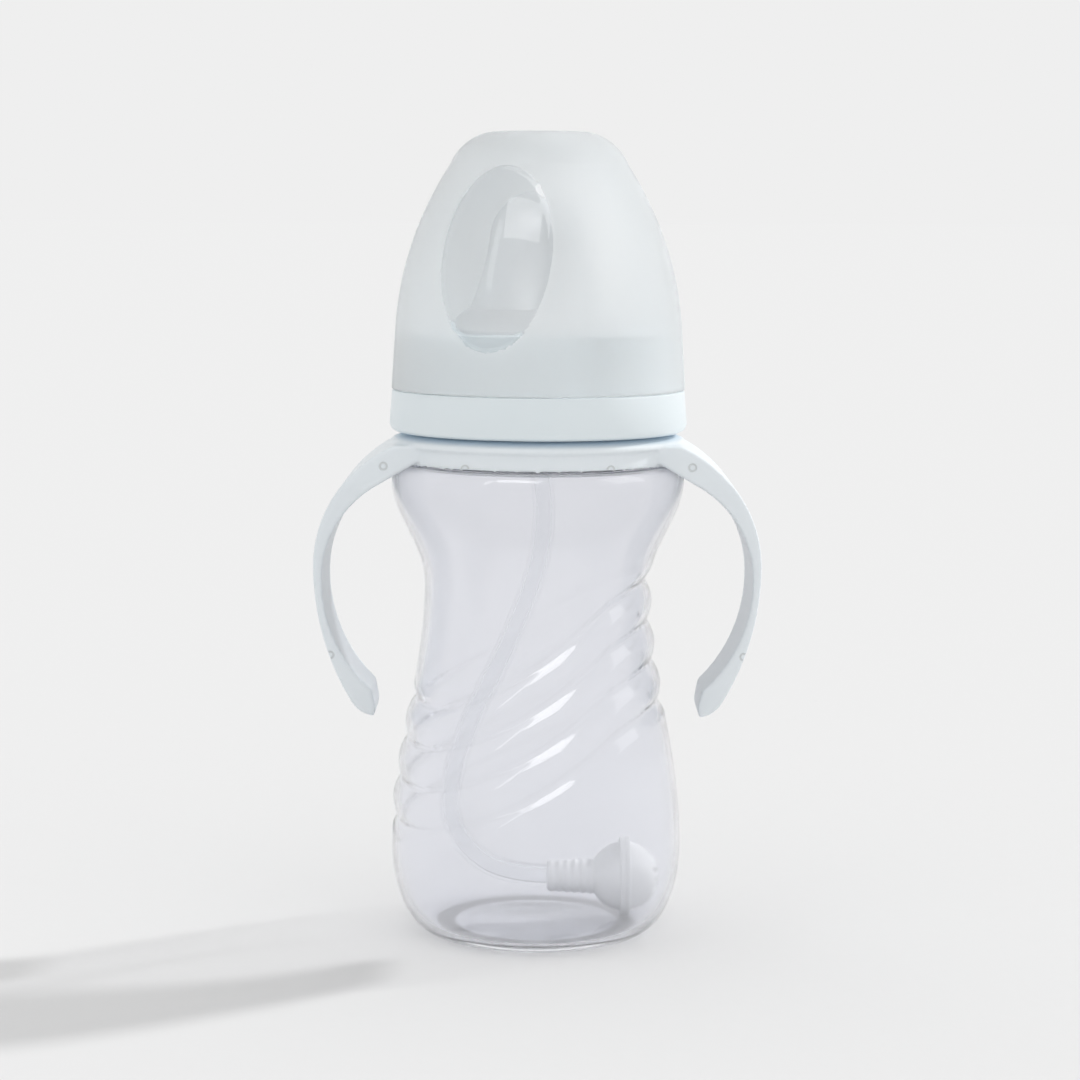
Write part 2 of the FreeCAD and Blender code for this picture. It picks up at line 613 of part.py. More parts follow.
def hood_shell(name, wall):
    """The hood's outline with a wall of that thickness, turned round."""
    corners = [
        ("hood_radius", "hood_bottom"), ("hood_radius - hood_taper", "hood_bottom + hood_straight"),
        ("hood_shoulder_radius", "hood_shoulder_height"), ("hood_top_radius", "hood_top"), ("0", "hood_top"),
        ("0", f"hood_top - {wall}"), ("hood_top_radius", f"hood_top - {wall}"),
        (f"hood_shoulder_radius - {wall}_across", f"hood_shoulder_height - {wall}_up"),
        (f"hood_radius - hood_taper - {wall}", "hood_bottom + hood_straight"),
        (f"hood_radius - {wall}", "hood_bottom")]
    arcs = {1: ("hood_side_round", 1), 2: ("hood_top_round", 1),
            6: (f"hood_top_round - {wall}", -1), 7: (f"hood_side_round - {wall}", -1)}
    return turned(name, corners, arcs)


def make_hood():
    """Frosted dome whose two oval windows, front and back, are sunk into its outer face."""
    dome = hood_shell("hood_dome", "hood_wall")
    skin = hood_shell("hood_skin", "window_depth")
    oval = doc.addObject("Part::Ellipse", "window_oval")
    oval.setExpression("MajorRadius", measure("window_half_height")[1])
    oval.setExpression("MinorRadius", measure("window_half_width")[1])
    upright_oval = Rotation(Vector(0, 0, 1), Vector(1, 0, 0), Vector(0, 1, 0), "XYZ")
    turn = Rotation(Vector(0, 0, 1), -size("window_turn"))
    oval.Placement.Rotation = turn.multiply(upright_oval)
    oval.setExpression("Placement.Base.z", measure("hood_top - window_drop")[1])
    doc.recompute()
    facing = turn.multVec(Vector(0, 1, 0))
    block = extruded("window_block", oval, facing, "hood_radius + hood_radius + hood_radius")
    cut("hood", dome, joined("Part::MultiCommon", "windows", [skin, block]))


# ---------------------------------------------------------------- build and write

NODES = ["bottle_body", "handle_frame", "screw_ring", "teat", "straw_seat", "straw_tube",
         "weight_neck_half", "weight_inlet_half", "weight_slug", "hood"]


def check_document():
    """Stops if any object failed or any piece is not one valid solid."""
    for item in doc.Objects:
        if "Invalid" in item.State or "Error" in item.State:
            raise RuntimeError(f"{item.Name} failed: {item.State}")
    for name in NODES:
        shape = doc.getObject(name).Shape
        if shape.isNull() or not shape.isValid() or len(shape.Solids) != 1:
            raise RuntimeError(f"{name} is not one valid solid")


def write_parts():
    os.makedirs("parts", exist_ok=True)
    for name in NODES:
        piece = doc.getObject(name)
        piece.Label = name
        piece.Shape.exportStep(f"parts/{name}.step")
        box = piece.Shape.BoundBox
        print(name, round(piece.Shape.Volume), "mm3, box", [round(v, 2) for v in (
            box.XMin, box.YMin, box.ZMin, box.XMax, box.YMax, box.ZMax)])


fill_sheet()
make_bottle_body()
make_handle_frame()
make_screw_ring()
make_teat()
make_straw_seat()
make_straw()
make_weight_neck_half()
make_weight_inlet_half()
make_weight_slug()
make_hood()
doc.recompute()
check_document()
write_parts()
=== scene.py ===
import math

import bmesh
import bpy
import numpy as np
from mathutils import Matrix, Quaternion, Vector


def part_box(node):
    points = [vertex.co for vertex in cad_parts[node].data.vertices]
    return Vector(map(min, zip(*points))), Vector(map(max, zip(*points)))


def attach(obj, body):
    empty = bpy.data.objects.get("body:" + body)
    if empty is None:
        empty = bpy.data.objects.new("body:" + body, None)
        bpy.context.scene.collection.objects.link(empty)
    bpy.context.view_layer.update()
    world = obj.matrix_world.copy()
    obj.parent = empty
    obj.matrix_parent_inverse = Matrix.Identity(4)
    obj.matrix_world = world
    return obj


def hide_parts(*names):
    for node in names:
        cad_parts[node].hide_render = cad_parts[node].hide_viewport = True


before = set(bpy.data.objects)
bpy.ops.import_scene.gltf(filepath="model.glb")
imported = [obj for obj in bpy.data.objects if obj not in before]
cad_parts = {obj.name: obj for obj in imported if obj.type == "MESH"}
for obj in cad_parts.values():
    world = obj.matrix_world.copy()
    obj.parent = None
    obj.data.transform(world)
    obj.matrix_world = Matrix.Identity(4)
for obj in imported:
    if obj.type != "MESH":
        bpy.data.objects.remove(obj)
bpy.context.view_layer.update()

# Sizes are in millimetres and become metres where a mesh is made.
MM = 0.001
TURN = 2 * math.pi


def corners(node):
    """Lowest and highest corner of a CAD node, in millimetres."""
    low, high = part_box(node)
    return Vector(low) / MM, Vector(high) / MM


LIP = corners("bottle_body")[1].z
FRAME_TOP = corners("handle_frame")[1].z
RING_BOTTOM, RING_TOP = corners("screw_ring")[0].z, corners("screw_ring")[1].z
HOOD_BOTTOM, HOOD_TOP = corners("hood")[0].z, corners("hood")[1].z
TEAT_TIP = corners("teat")[1].z
SEAT_BOTTOM = LIP - 2.4
STRAW_TOP = corners("straw_tube")[1].z
WEIGHT = Vector((corners("weight_inlet_half")[0].x, 1.6, 11.4))

# ---------------------------------------------------------------- camera

CAMERA_AT = Vector((0, -0.620, 0.1622))
CAMERA_AIM = Vector((0, 0, 0.0893))
CAMERA_LENS = 92.0
CAMERA_ROLL = 0.3
CAMERA_SHIFT = 0.0023


def make_camera():
    data = bpy.data.cameras.new("camera")
    data.lens = CAMERA_LENS
    data.shift_x = CAMERA_SHIFT
    data.clip_start = 0.01
    data.clip_end = 200
    camera = bpy.data.objects.new("camera", data)
    bpy.context.scene.collection.objects.link(camera)
    camera.location = CAMERA_AT
    aim = (CAMERA_AIM - CAMERA_AT).to_track_quat("-Z", "Y")
    camera.rotation_mode = "QUATERNION"
    camera.rotation_quaternion = aim @ Quaternion((0, 0, 1), math.radians(CAMERA_ROLL))
    bpy.context.scene.camera = camera


make_camera()

# ---------------------------------------------------------------- meshes


def link(name, mesh):
    piece = bpy.data.objects.new(name, mesh)
    bpy.context.scene.collection.objects.link(piece)
    return piece


def finish_mesh(mesh):
    """Faces point outwards and are smooth."""
    work = bmesh.new()
    work.from_mesh(mesh)
    bmesh.ops.recalc_face_normals(work, faces=work.faces)
    if work.calc_volume(signed=True) < 0:
        bmesh.ops.reverse_faces(work, faces=work.faces)
    work.to_mesh(mesh)
    work.free()
    mesh.polygons.foreach_set("use_smooth", [True] * len(mesh.polygons))


def round_mesh(name, rows, looped):
    """Mesh from rows of points round an axis, (rows, columns, 3) in millimetres.

    looped: the last row joins the first. Otherwise the first and last row are closed.
    """
    count, columns = rows.shape[:2]
    verts = (rows.reshape(-1, 3) * MM).tolist()
    faces = []
    for row in range(count if looped else count - 1):
        after = (row + 1) % count
        for column in range(columns):
            side = (column + 1) % columns
            faces.append((row * columns + column, row * columns + side,
                          after * columns + side, after * columns + column))
    if not looped:
        for row in (0, count - 1):
            verts.append((rows[row].mean(0) * MM).tolist())
            for column in range(columns):
                side = (column + 1) % columns
                faces.append((row * columns + column, row * columns + side, len(verts) - 1))
    mesh = bpy.data.meshes.new(name)
    mesh.from_pydata(verts, [], faces)
    finish_mesh(mesh)
    return link(name, mesh)


def around(profile, columns):
    """Rows of points from (radius, height) pairs turned about Z."""
    profile = np.array(profile, float)
    turn = np.arange(columns) * TURN / columns
    return np.stack([profile[:, None, 0] * np.cos(turn), profile[:, None, 0] * np.sin(turn),
                     np.broadcast_to(profile[:, None, 1], (len(profile), columns))], axis=2)


def line(start, end, steps=1):
    """Points from start up to but not including end."""
    return [(start[0] + (end[0] - start[0]) * k / steps, start[1] + (end[1] - start[1]) * k / steps)
            for k in range(steps)]


def arc(centre, radius, start, end, steps):
    """Points on an arc, angles in degrees, both ends included."""
    turns = np.radians(np.linspace(start, end, steps))
    return [(centre[0] + radius * math.cos(t), centre[1] + radius * math.sin(t)) for t in turns]


def bow(start, end, radius, side, steps):
    """Arc from start up to but not including end, its centre left (1) or right (-1) of the way."""
    start, end = Vector(start), Vector(end)
    chord = end - start
    left = Vector((-chord.y, chord.x)).normalized()
    centre = (start + end) / 2 + left * (side * math.sqrt(radius ** 2 - chord.length ** 2 / 4))
    first = math.atan2(start.y - centre.y, start.x - centre.x)
    last = math.atan2(end.y - centre.y, end.x - centre.x)
    sweep = (last - first + math.pi) % TURN - math.pi
    return [(centre.x + radius * math.cos(first + sweep * k / steps),
             centre.y + radius * math.sin(first + sweep * k / steps)) for k in range(steps)]


def rounded(outline, radius, steps=4):
    """A closed outline with its sharp corners rounded, and its gentle ones left alone."""
    points = [Vector(p) for p in outline]
    result = []
    for k, here in enumerate(points):
        back, ahead = points[k - 1] - here, points[(k + 1) % len(points)] - here
        turn = math.pi - back.angle(ahead)
        if turn < 0.5:
            result.append((here.x, here.y))
            continue
        reach = min(radius * math.tan(turn / 2), back.length * 0.45, ahead.length * 0.45)
        start, end = here + back.normalized() * reach, here + ahead.normalized() * reach
        for step in range(steps + 1):
            share = step / steps
            point = start * (1 - share) ** 2 + here * 2 * share * (1 - share) + end * share ** 2
            result.append((point.x, point.y))
    return result


def turned(name, outline, edge=0.3, columns=160):
    """Solid of revolution about Z whose closed outline doesn't touch the axis."""
    return round_mesh(name, around(rounded(outline, edge), columns), looped=True)


def place(piece, matrix):
    piece.data.transform(matrix)
    finish_mesh(piece.data)
    return piece


def cut_away(piece, tools):
    """Takes the tools' shapes out of the piece and removes the tools."""
    for tool in tools:
        modifier = piece.modifiers.new("cut", "BOOLEAN")
        modifier.object = tool
        modifier.operation = "DIFFERENCE"
        modifier.solver = "EXACT"
    apply_modifiers(piece)
    for tool in tools:
        bpy.data.objects.remove(tool)
    return piece


def apply_modifiers(piece):
    bpy.context.view_layer.update()
    graph = bpy.context.evaluated_depsgraph_get()
    mesh = bpy.data.meshes.new_from_object(piece.evaluated_get(graph))
    piece.modifiers.clear()
    piece.data = mesh
    mesh.name = piece.name


def smooth_step(low, high, value):
    share = np.clip((value - low) / (high - low), 0, 1)
    return share * share * (3 - 2 * share)


def ease(share):
    return (1 - np.cos(np.pi * np.clip(share, 0, 1))) / 2


# ---------------------------------------------------------------- straw

STRAW_RADIUS = 2.5
STRAW_BORE = 1.6
# Its route under the seat: x, y and the share of the way up from its weighted end's axis
STRAW_ROUTE = [(0.0, 0.0, 1.0), (0.0, 0.0, 0.84), (2.4, 0.9, 0.67), (-5.0, 1.6, 0.48),
               (-15.3, 2.2, 0.31), (-21.0, 2.4, 0.15), (-17.0, 2.2, 0.058), (-6.9, 1.6, 0.0),
               (5.3, 1.6, 0.0)]


def route_points():
    """The points of the straw's spline, in metres."""
    curve = bpy.data.curves.new("straw_route", "CURVE")
    curve.dimensions = "3D"
    curve.resolution_u = 12
    spline = curve.splines.new("NURBS")
    spline.points.add(len(STRAW_ROUTE) - 1)
    for point, (x, y, share) in zip(spline.points, STRAW_ROUTE):
        point.co = (x * MM, y * MM, (WEIGHT.z + (STRAW_TOP - WEIGHT.z) * share) * MM, 1)
    spline.order_u = 3
    spline.use_endpoint_u = True
    route = link("straw_route", curve)
    bpy.context.view_layer.update()
    mesh = bpy.data.meshes.new_from_object(route.evaluated_get(bpy.context.evaluated_depsgraph_get()))
    points = [vertex.co.copy() for vertex in mesh.vertices]
    bpy.data.objects.remove(route)
    bpy.data.meshes.remove(mesh)
    return points


def tube_rows(points, outer, bore, columns):
    """Rows of a hollow tube along the points: up the outside, then back down the bore."""
    ahead = [(after - before).normalized() for before, after in
             zip([points[0]] + points[:-1], points[1:] + [points[-1]])]
    across = Vector((0, 1, 0))
    frames = []
    for direction in ahead:
        across = (across - direction * across.dot(direction)).normalized()
        frames.append((across, direction.cross(across)))
    turn = np.arange(columns) * TURN / columns
    rows = []
    for radius, order in ((outer, 1), (bore, -1)):
        for point, (a, b) in list(zip(points, frames))[::order]:
            circle = np.outer(np.cos(turn), a) + np.outer(np.sin(turn), b)
            rows.append(np.array(point) / MM + radius * circle)
    return np.array(rows)


def make_straw():
    points = route_points()
    straw = round_mesh("straw", tube_rows(points, STRAW_RADIUS, STRAW_BORE, 40), looped=True)
    length = sum((b - a).length for a, b in zip(points, points[1:]))
    return straw, points, length


straw, straw_path, straw_length = make_straw()

# ---------------------------------------------------------------- bottle body

BODY_COLUMNS = 288
FOOT_RADIUS, FOOT_LAND, FOOT_DISH = 23.0, 4.5, 0.8
BELLY_RADIUS, BELLY_HEIGHT = 32.9, 20.0
WAIST_RADIUS, WAIST_HEIGHT = 25.5, 80.0
SHOULDER_RADIUS, SHOULDER_HEIGHT, SHOULDER_ROUND = 33.0, 103.6, 4.5
BODY_WALL, FLOOR_WALL = 1.4, 2.0
NECK_RADIUS, NECK_WALL, NECK_BORE_FOOT = 26.3, 2.3, 108.0
GROOVES, GROOVE_STEP, GROOVE_FIRST, GROOVE_TILT, GROOVE_SAG = 4, 9.0, 40.4, 13.2, 4.4
GROOVE_SAG_SPAN = 2.27   # radians of the turn over which the grooves sag
GROOVE_DEPTH, RIDGE_SWELL, RIDGE_FULLNESS, GROOVE_FADE = 1.15, 0.35, 0.85, 3.4
GRIP_FOOT, GRIP_HEAD = (12, 18), (98, 104)   # heights over which the grip fades in and out
THREAD_PITCH, THREAD_DEPTH, THREAD_TURNS, THREAD_START = 5.0, 1.25, 1.5, LIP - 13.5
THREAD_RUN_IN = 0.03   # turns over which a rib rises and falls at its ends


def grip(height, turn):
    """How far the grip moves the wall out (+) or in (-)."""
    sag = GROOVE_SAG * np.sin(np.pi * np.clip((turn - math.pi) / GROOVE_SAG_SPAN, 0, 1))
    along = height - GROOVE_TILT * np.cos(turn) + sag - GROOVE_FIRST
    last = GROOVE_STEP * (GROOVES - 1)
    swell = np.abs(np.sin(np.pi * along / GROOVE_STEP)) ** RIDGE_FULLNESS
    between = swell * (GROOVE_DEPTH + RIDGE_SWELL) - GROOVE_DEPTH
    beyond = np.where(along < 0, -along, along - last)
    outside = -GROOVE_DEPTH * (1 - ease(beyond / GROOVE_FADE))
    return np.where((along >= 0) & (along <= last), between, outside)


def wall(inset, floor):
    """(radius, height) up the wall moved in by inset, from the floor to the shoulder's top."""
    points = []
    for turn in np.linspace(0, math.pi / 2, 24)[:-1]:
        points.append((FOOT_RADIUS + (BELLY_RADIUS - FOOT_RADIUS - inset) * math.sin(turn),
                       BELLY_HEIGHT - (BELLY_HEIGHT - floor) * math.cos(turn)))
    for height in np.arange(BELLY_HEIGHT, SHOULDER_HEIGHT, 0.6):
        fall = ease((height - BELLY_HEIGHT) / (WAIST_HEIGHT - BELLY_HEIGHT))
        rise = ease((height - WAIST_HEIGHT) / (SHOULDER_HEIGHT - WAIST_HEIGHT))
        radius = BELLY_RADIUS + (WAIST_RADIUS - BELLY_RADIUS) * fall
        radius = radius + (SHOULDER_RADIUS - WAIST_RADIUS) * rise
        points.append((radius - inset, height))
    bend = SHOULDER_ROUND - inset
    points += arc((SHOULDER_RADIUS - SHOULDER_ROUND, SHOULDER_HEIGHT), bend, 0, 90, 12)
    return points


def thread_rise(height, turn, start, turns):
    """0 to 1: how much of a helical rib's depth stands at that place."""
    rise = np.zeros(np.broadcast(height, turn).shape)
    for lap in range(int(turns) + 2):
        along = turn / TURN + lap
        centre = start + THREAD_PITCH * along
        shape = 1 - smooth_step(0.5, 1.0, np.abs(height - centre))
        ends = smooth_step(0, THREAD_RUN_IN, along) * (1 - smooth_step(turns - THREAD_RUN_IN, turns, along))
        rise = np.maximum(rise, shape * ends)
    return rise


def make_bottle():
    shoulder_top = SHOULDER_HEIGHT + SHOULDER_ROUND
    neck_bore = NECK_RADIUS - NECK_WALL
    outside = [(0.5, FOOT_DISH)] + line((6, FOOT_DISH * 0.7), (FOOT_RADIUS - FOOT_LAND, 0), 4)
    outside += line((FOOT_RADIUS - FOOT_LAND, 0), (FOOT_RADIUS, 0), 3) + wall(0, 0)
    outside += arc((NECK_RADIUS + 0.8, shoulder_top + 0.8), 0.8, 270, 180, 5)
    outside += line((NECK_RADIUS, shoulder_top + 1), (NECK_RADIUS, LIP - 0.9), 60)
    outside += arc((NECK_RADIUS - 0.7, LIP - 0.7), 0.7, 0, 90, 5)
    outside += arc((neck_bore + 0.7, LIP - 0.7), 0.7, 90, 180, 5)
    inside = wall(BODY_WALL, FLOOR_WALL)
    inside += line((neck_bore + 0.6, shoulder_top - BODY_WALL), (neck_bore, NECK_BORE_FOOT), 2)
    inside = inside[::-1] + [(FOOT_RADIUS * share, FLOOR_WALL) for share in (0.8, 0.6, 0.4, 0.2)]
    rows = around(outside + inside, BODY_COLUMNS)
    turn = np.arange(BODY_COLUMNS) * TURN / BODY_COLUMNS
    height = rows[:, :, 2]
    radius = np.hypot(rows[:, :, 0], rows[:, :, 1])
    shift = grip(height, turn) * smooth_step(*GRIP_FOOT, height) * (1 - smooth_step(*GRIP_HEAD, height))
    rib = thread_rise(height, turn, THREAD_START, THREAD_TURNS) * THREAD_DEPTH
    shift = shift + rib * (np.abs(radius - NECK_RADIUS) < 0.01) * (height > shoulder_top + 2)
    rows[:, :, :2] *= (1 + shift / np.maximum(radius, 1))[:, :, None]
    return round_mesh("body", rows, looped=False)


# ---------------------------------------------------------------- ring, teat, seat

RING_COLUMNS = 256
RING_THREAD_DROP, RING_THREAD_TURNS = 1.6, 1.25


def make_ring():
    bore, upper, rim, mouth, top_wall = 28.0, 30.0, 33.4, 20.6, 1.9
    seat = HOOD_BOTTOM - 0.1
    outline = [(bore, RING_BOTTOM), (rim - 1.6, RING_BOTTOM), (rim - 0.5, RING_BOTTOM + 0.5),
               (rim, RING_BOTTOM + 1.7), (rim - 0.6, seat), (upper, seat), (upper, RING_TOP - 0.1),
               (upper - 0.1, RING_TOP), (mouth, RING_TOP), (mouth, RING_TOP - top_wall),
               (bore, RING_TOP - top_wall)]
    profile = rounded(outline, 0.55)
    profile += line((bore, RING_TOP - 2.4), (bore, RING_BOTTOM + 0.6), 90)[1:]
    rows = around(profile, RING_COLUMNS)
    turn = np.arange(RING_COLUMNS) * TURN / RING_COLUMNS
    height = rows[:, :, 2]
    radius = np.hypot(rows[:, :, 0], rows[:, :, 1])
    rib = thread_rise(height, turn, THREAD_START - RING_THREAD_DROP, RING_THREAD_TURNS) * THREAD_DEPTH
    shift = -rib * (np.abs(radius - bore) < 0.01) * (height < RING_TOP - 3)
    rows[:, :, :2] *= (1 + shift / radius)[:, :, None]
    return round_mesh("ring", rows, looped=True)


def make_teat():
    bore, skirt, flange, waist, wall_thickness = 21.8, 23.7, 26.3, 20.3, 1.9
    breast, nipple, nipple_wall, hole = 15.4, 10.8, 1.6, 0.45
    skirt_foot, flange_top = LIP - 3.4, LIP + 2.4
    breast_foot, breast_foot_inside, nipple_foot = RING_TOP + 5.2, RING_TOP + 3.6, RING_TOP + 22.2
    lip_bore, lip_top, lip_foot = bore + 1.05, SEAT_BOTTOM + 1.15, SEAT_BOTTOM - 0.05
    outside = [(bore, skirt_foot), (skirt, skirt_foot), (skirt, LIP), (flange, LIP), (flange, flange_top),
               (waist, flange_top), (waist, RING_TOP + 0.7)]
    outside += bow((waist - 0.8, RING_TOP + 1.7), (breast, breast_foot), 9, 1, 10)
    outside += bow((breast, breast_foot), (nipple, nipple_foot), 60, -1, 16)
    outside += bow((nipple, nipple_foot), (hole, TEAT_TIP), 11.0, 1, 20)
    inside = [(hole, TEAT_TIP - 0.02)]
    inside += bow((hole, TEAT_TIP - nipple_wall), (nipple - nipple_wall, nipple_foot), 9.4, -1, 16)
    inside += bow((nipple - nipple_wall, nipple_foot), (breast - nipple_wall, breast_foot_inside), 60, 1, 16)
    inside += [(breast - nipple_wall, breast_foot_inside), (waist - wall_thickness, RING_TOP - 0.9),
               (waist - wall_thickness, LIP + 0.6), (bore, LIP), (bore, lip_top), (lip_bore, lip_top),
               (lip_bore, lip_foot), (bore, lip_foot)]
    return turned("teat_dome", outside + inside, edge=0.5)


def make_seat():
    disc_radius, hub, spigot, bore = 22.8, 4.2, 1.55, 0.9
    top = SEAT_BOTTOM + 1.1
    hub_top, spigot_foot = top + 2.2, SEAT_BOTTOM - 8
    vent_radius, vent_place = 0.8, 14.0
    outline = [(bore, spigot_foot), (spigot, spigot_foot), (spigot, SEAT_BOTTOM), (disc_radius, SEAT_BOTTOM),
               (disc_radius, top), (hub, top), (hub - 0.6, hub_top), (bore, hub_top)]
    disc = turned("seat_disc", outline, edge=0.2, columns=96)
    vent_profile = [(vent_radius, SEAT_BOTTOM - 2), (vent_radius, top + 2)]
    vent = round_mesh("vent_tool", around(vent_profile, 24), looped=False)
    vent.data.transform(Matrix.Translation((vent_place * MM, 0, 0)))
    return cut_away(disc, [vent])


# ---------------------------------------------------------------- weighted end

LAY_ALONG_X = Matrix.Translation(WEIGHT * MM) @ Matrix.Rotation(math.pi / 2, 4, "Y")
BALL, BALL_CAVITY, FLANGE, FLANGE_HALF = 8.0, 6.5, 9.1, 1.15


def make_neck_half():
    neck, taper, neck_end, ribs, rib_rise = 3.9, 0.6, 17.8, 6, 0.28
    socket, socket_floor, bore, bore_end = 2.55, 14.8, 1.6, 6.3
    foot = math.sqrt(BALL ** 2 - FLANGE_HALF ** 2)
    start = math.sqrt(BALL ** 2 - neck ** 2)
    outline = [(BALL_CAVITY, 0), (FLANGE, 0), (FLANGE, -FLANGE_HALF)]
    outline += bow((foot, -FLANGE_HALF), (neck, -start), BALL, -1, 16)
    for along in np.linspace(0, 1, 41):
        rib = rib_rise * (0.5 - 0.5 * math.cos(TURN * ribs * along)) * (along < 0.99)
        outline.append((neck - taper * along + rib, -start - (neck_end - start) * along))
    outline += [(socket, -neck_end), (socket, -socket_floor), (bore, -socket_floor), (bore, -bore_end)]
    cavity_mouth = (bore, -math.sqrt(BALL_CAVITY ** 2 - bore ** 2))
    outline += bow(cavity_mouth, (BALL_CAVITY, 0), BALL_CAVITY, 1, 16)[1:]
    return place(turned("weight_neck", outline, edge=0.15, columns=96), LAY_ALONG_X)


def make_inlet_half():
    foot = math.sqrt(BALL ** 2 - FLANGE_HALF ** 2)
    pole, slit_step, slit_height = 0.05, 2.2, 1.0
    outline = [(FLANGE, 0), (FLANGE, FLANGE_HALF)]
    outline += bow((foot, FLANGE_HALF), (pole, BALL), BALL, 1, 18)
    outline += [(pole, BALL), (pole, BALL_CAVITY)]
    outline += bow((pole, BALL_CAVITY), (BALL_CAVITY, 0), BALL_CAVITY, -1, 18)[1:] + [(BALL_CAVITY, 0)]
    dome = place(turned("weight_inlet", outline, edge=0.15, columns=96), LAY_ALONG_X)
    slits = []
    for shift in (-slit_step, 0, slit_step):
        centre = WEIGHT + Vector((BALL, 0, shift))
        slits.append(box_mesh("slit_tool", centre, Vector((BALL, BALL, slit_height))))
    return cut_away(dome, slits)


def box_mesh(name, centre, size):
    mesh = bpy.data.meshes.new(name)
    work = bmesh.new()
    bmesh.ops.create_cube(work, size=1)
    work.to_mesh(mesh)
    work.free()
    mesh.transform(Matrix.Translation(Vector(centre) * MM) @ Matrix.Diagonal((*(Vector(size) * MM), 1)))
    return link(name, mesh)


def make_slug():
    hole, radius, half = 2.0, 5.2, 3.6
    outline = [(hole, -half), (radius, -half), (radius, half), (hole, half)]
    return place(turned("weight_core", outline, edge=0.4, columns=96), LAY_ALONG_X)


# ---------------------------------------------------------------- hood

HOOD_RADIUS, HOOD_WALL = 32.9, 1.5
HOOD_SIDE_ROUND, HOOD_TOP_ROUND = 75, 12
WINDOW_TURN, WINDOW_HALF_WIDTH, WINDOW_HALF_HEIGHT, WINDOW_DROP = 20.0, 12.6, 20.0, 27.6
WINDOW_SINK, WINDOW_SLOPE = 0.3, 0.7
WINDOW_LIP, WINDOW_LIP_AT, WINDOW_LIP_WIDTH = 0.06, 0.5, 0.35
HOOD_COLUMNS = 400


def hood_outside():
    points = [(HOOD_RADIUS - 0.35, HOOD_BOTTOM), (HOOD_RADIUS - 0.1, HOOD_BOTTOM + 0.1)]
    straight_end = (HOOD_RADIUS - 0.9, HOOD_BOTTOM + 15)
    shoulder = (19.9, HOOD_TOP - 7.2)
    crown = (11.0, HOOD_TOP)
    points += line((HOOD_RADIUS, HOOD_BOTTOM + 0.4), straight_end, 30)
    points += bow(straight_end, shoulder, HOOD_SIDE_ROUND, 1, 80)
    points += bow(shoulder, crown, HOOD_TOP_ROUND, 1, 30)
    return points + line(crown, (1, HOOD_TOP), 12)


def window_reach(points):
    """Below 1 inside either window's oval, seen straight on."""
    turn = math.radians(WINDOW_TURN)
    across = points[..., 0] * math.cos(turn) - points[..., 1] * math.sin(turn)
    up = points[..., 2] - (HOOD_TOP - WINDOW_DROP)
    return np.sqrt((across / WINDOW_HALF_WIDTH) ** 2 + (up / WINDOW_HALF_HEIGHT) ** 2)


def snapped(rows):
    """Grid rows whose points nearest the windows' edge are moved onto it, along and up the surface."""
    reach = window_reach(rows)
    result = rows.copy()
    for shift, axis in ((1, 0), (-1, 0), (1, 1), (-1, 1)):
        other, beyond = np.roll(rows, shift, axis), np.roll(reach, shift, axis)
        crossing = (reach - 1) * (beyond - 1) < 0
        share = (1 - reach) / np.where(crossing, beyond - reach, 1)
        use = crossing & (share > 0) & (share < 0.5)
        result[use] = (rows + (other - rows) * share[..., None])[use]
    return result


def make_hood():
    outside = hood_outside()
    outer = snapped(around(outside, HOOD_COLUMNS))
    profile = np.array(outside)
    way = np.gradient(profile, axis=0)
    way /= np.linalg.norm(way, axis=1)[:, None]
    inward = np.stack([-way[:, 1], way[:, 0]], axis=1)
    turn = np.arctan2(outer[..., 1], outer[..., 0])
    lean = np.stack([inward[:, None, 0] * np.cos(turn), inward[:, None, 0] * np.sin(turn),
                     np.broadcast_to(inward[:, None, 1], turn.shape)], axis=2)
    edge = (1 - window_reach(outer)) * WINDOW_HALF_WIDTH
    sink = WINDOW_SINK * smooth_step(0, WINDOW_SLOPE, edge)
    sink = sink - WINDOW_LIP * np.exp(-((edge + WINDOW_LIP_AT) / WINDOW_LIP_WIDTH) ** 2)
    outer = outer + lean * sink[..., None]
    inner_profile = profile + inward * HOOD_WALL
    inner_profile[:2, 1] = HOOD_BOTTOM + 0.1
    inner_profile[:, 0] = np.maximum(inner_profile[:, 0], 1)
    inner = around(inner_profile, HOOD_COLUMNS)[::-1]
    rows = np.concatenate([inner, outer])
    hood = round_mesh("hood_dome", rows, looped=False)
    return hood, len(inner) * HOOD_COLUMNS


# ---------------------------------------------------------------- handle frame

HANDLE_VOXEL, HANDLE_SOFTNESS, HANDLE_SOFTENINGS = 0.36, 0.5, 16


def make_handles():
    """The CAD frame's own form, with every edge softened as on a moulded part."""
    node = bpy.data.objects["handle_frame"]
    mesh = node.data.copy()
    mesh.transform(node.matrix_world)
    mesh.materials.clear()
    handles = link("handles", mesh)
    remesh = handles.modifiers.new("remesh", "REMESH")
    remesh.mode = "VOXEL"
    remesh.voxel_size = HANDLE_VOXEL * MM
    soften = handles.modifiers.new("soften", "SMOOTH")
    soften.factor = HANDLE_SOFTNESS
    soften.iterations = HANDLE_SOFTENINGS
    apply_modifiers(handles)
    finish_mesh(handles.data)
    return handles


# ---------------------------------------------------------------- materials

FOOT_GLOW_LOW, FOOT_GLOW_HIGH = 10.0, 62.0   # heights between which a piece's shade grows to its full


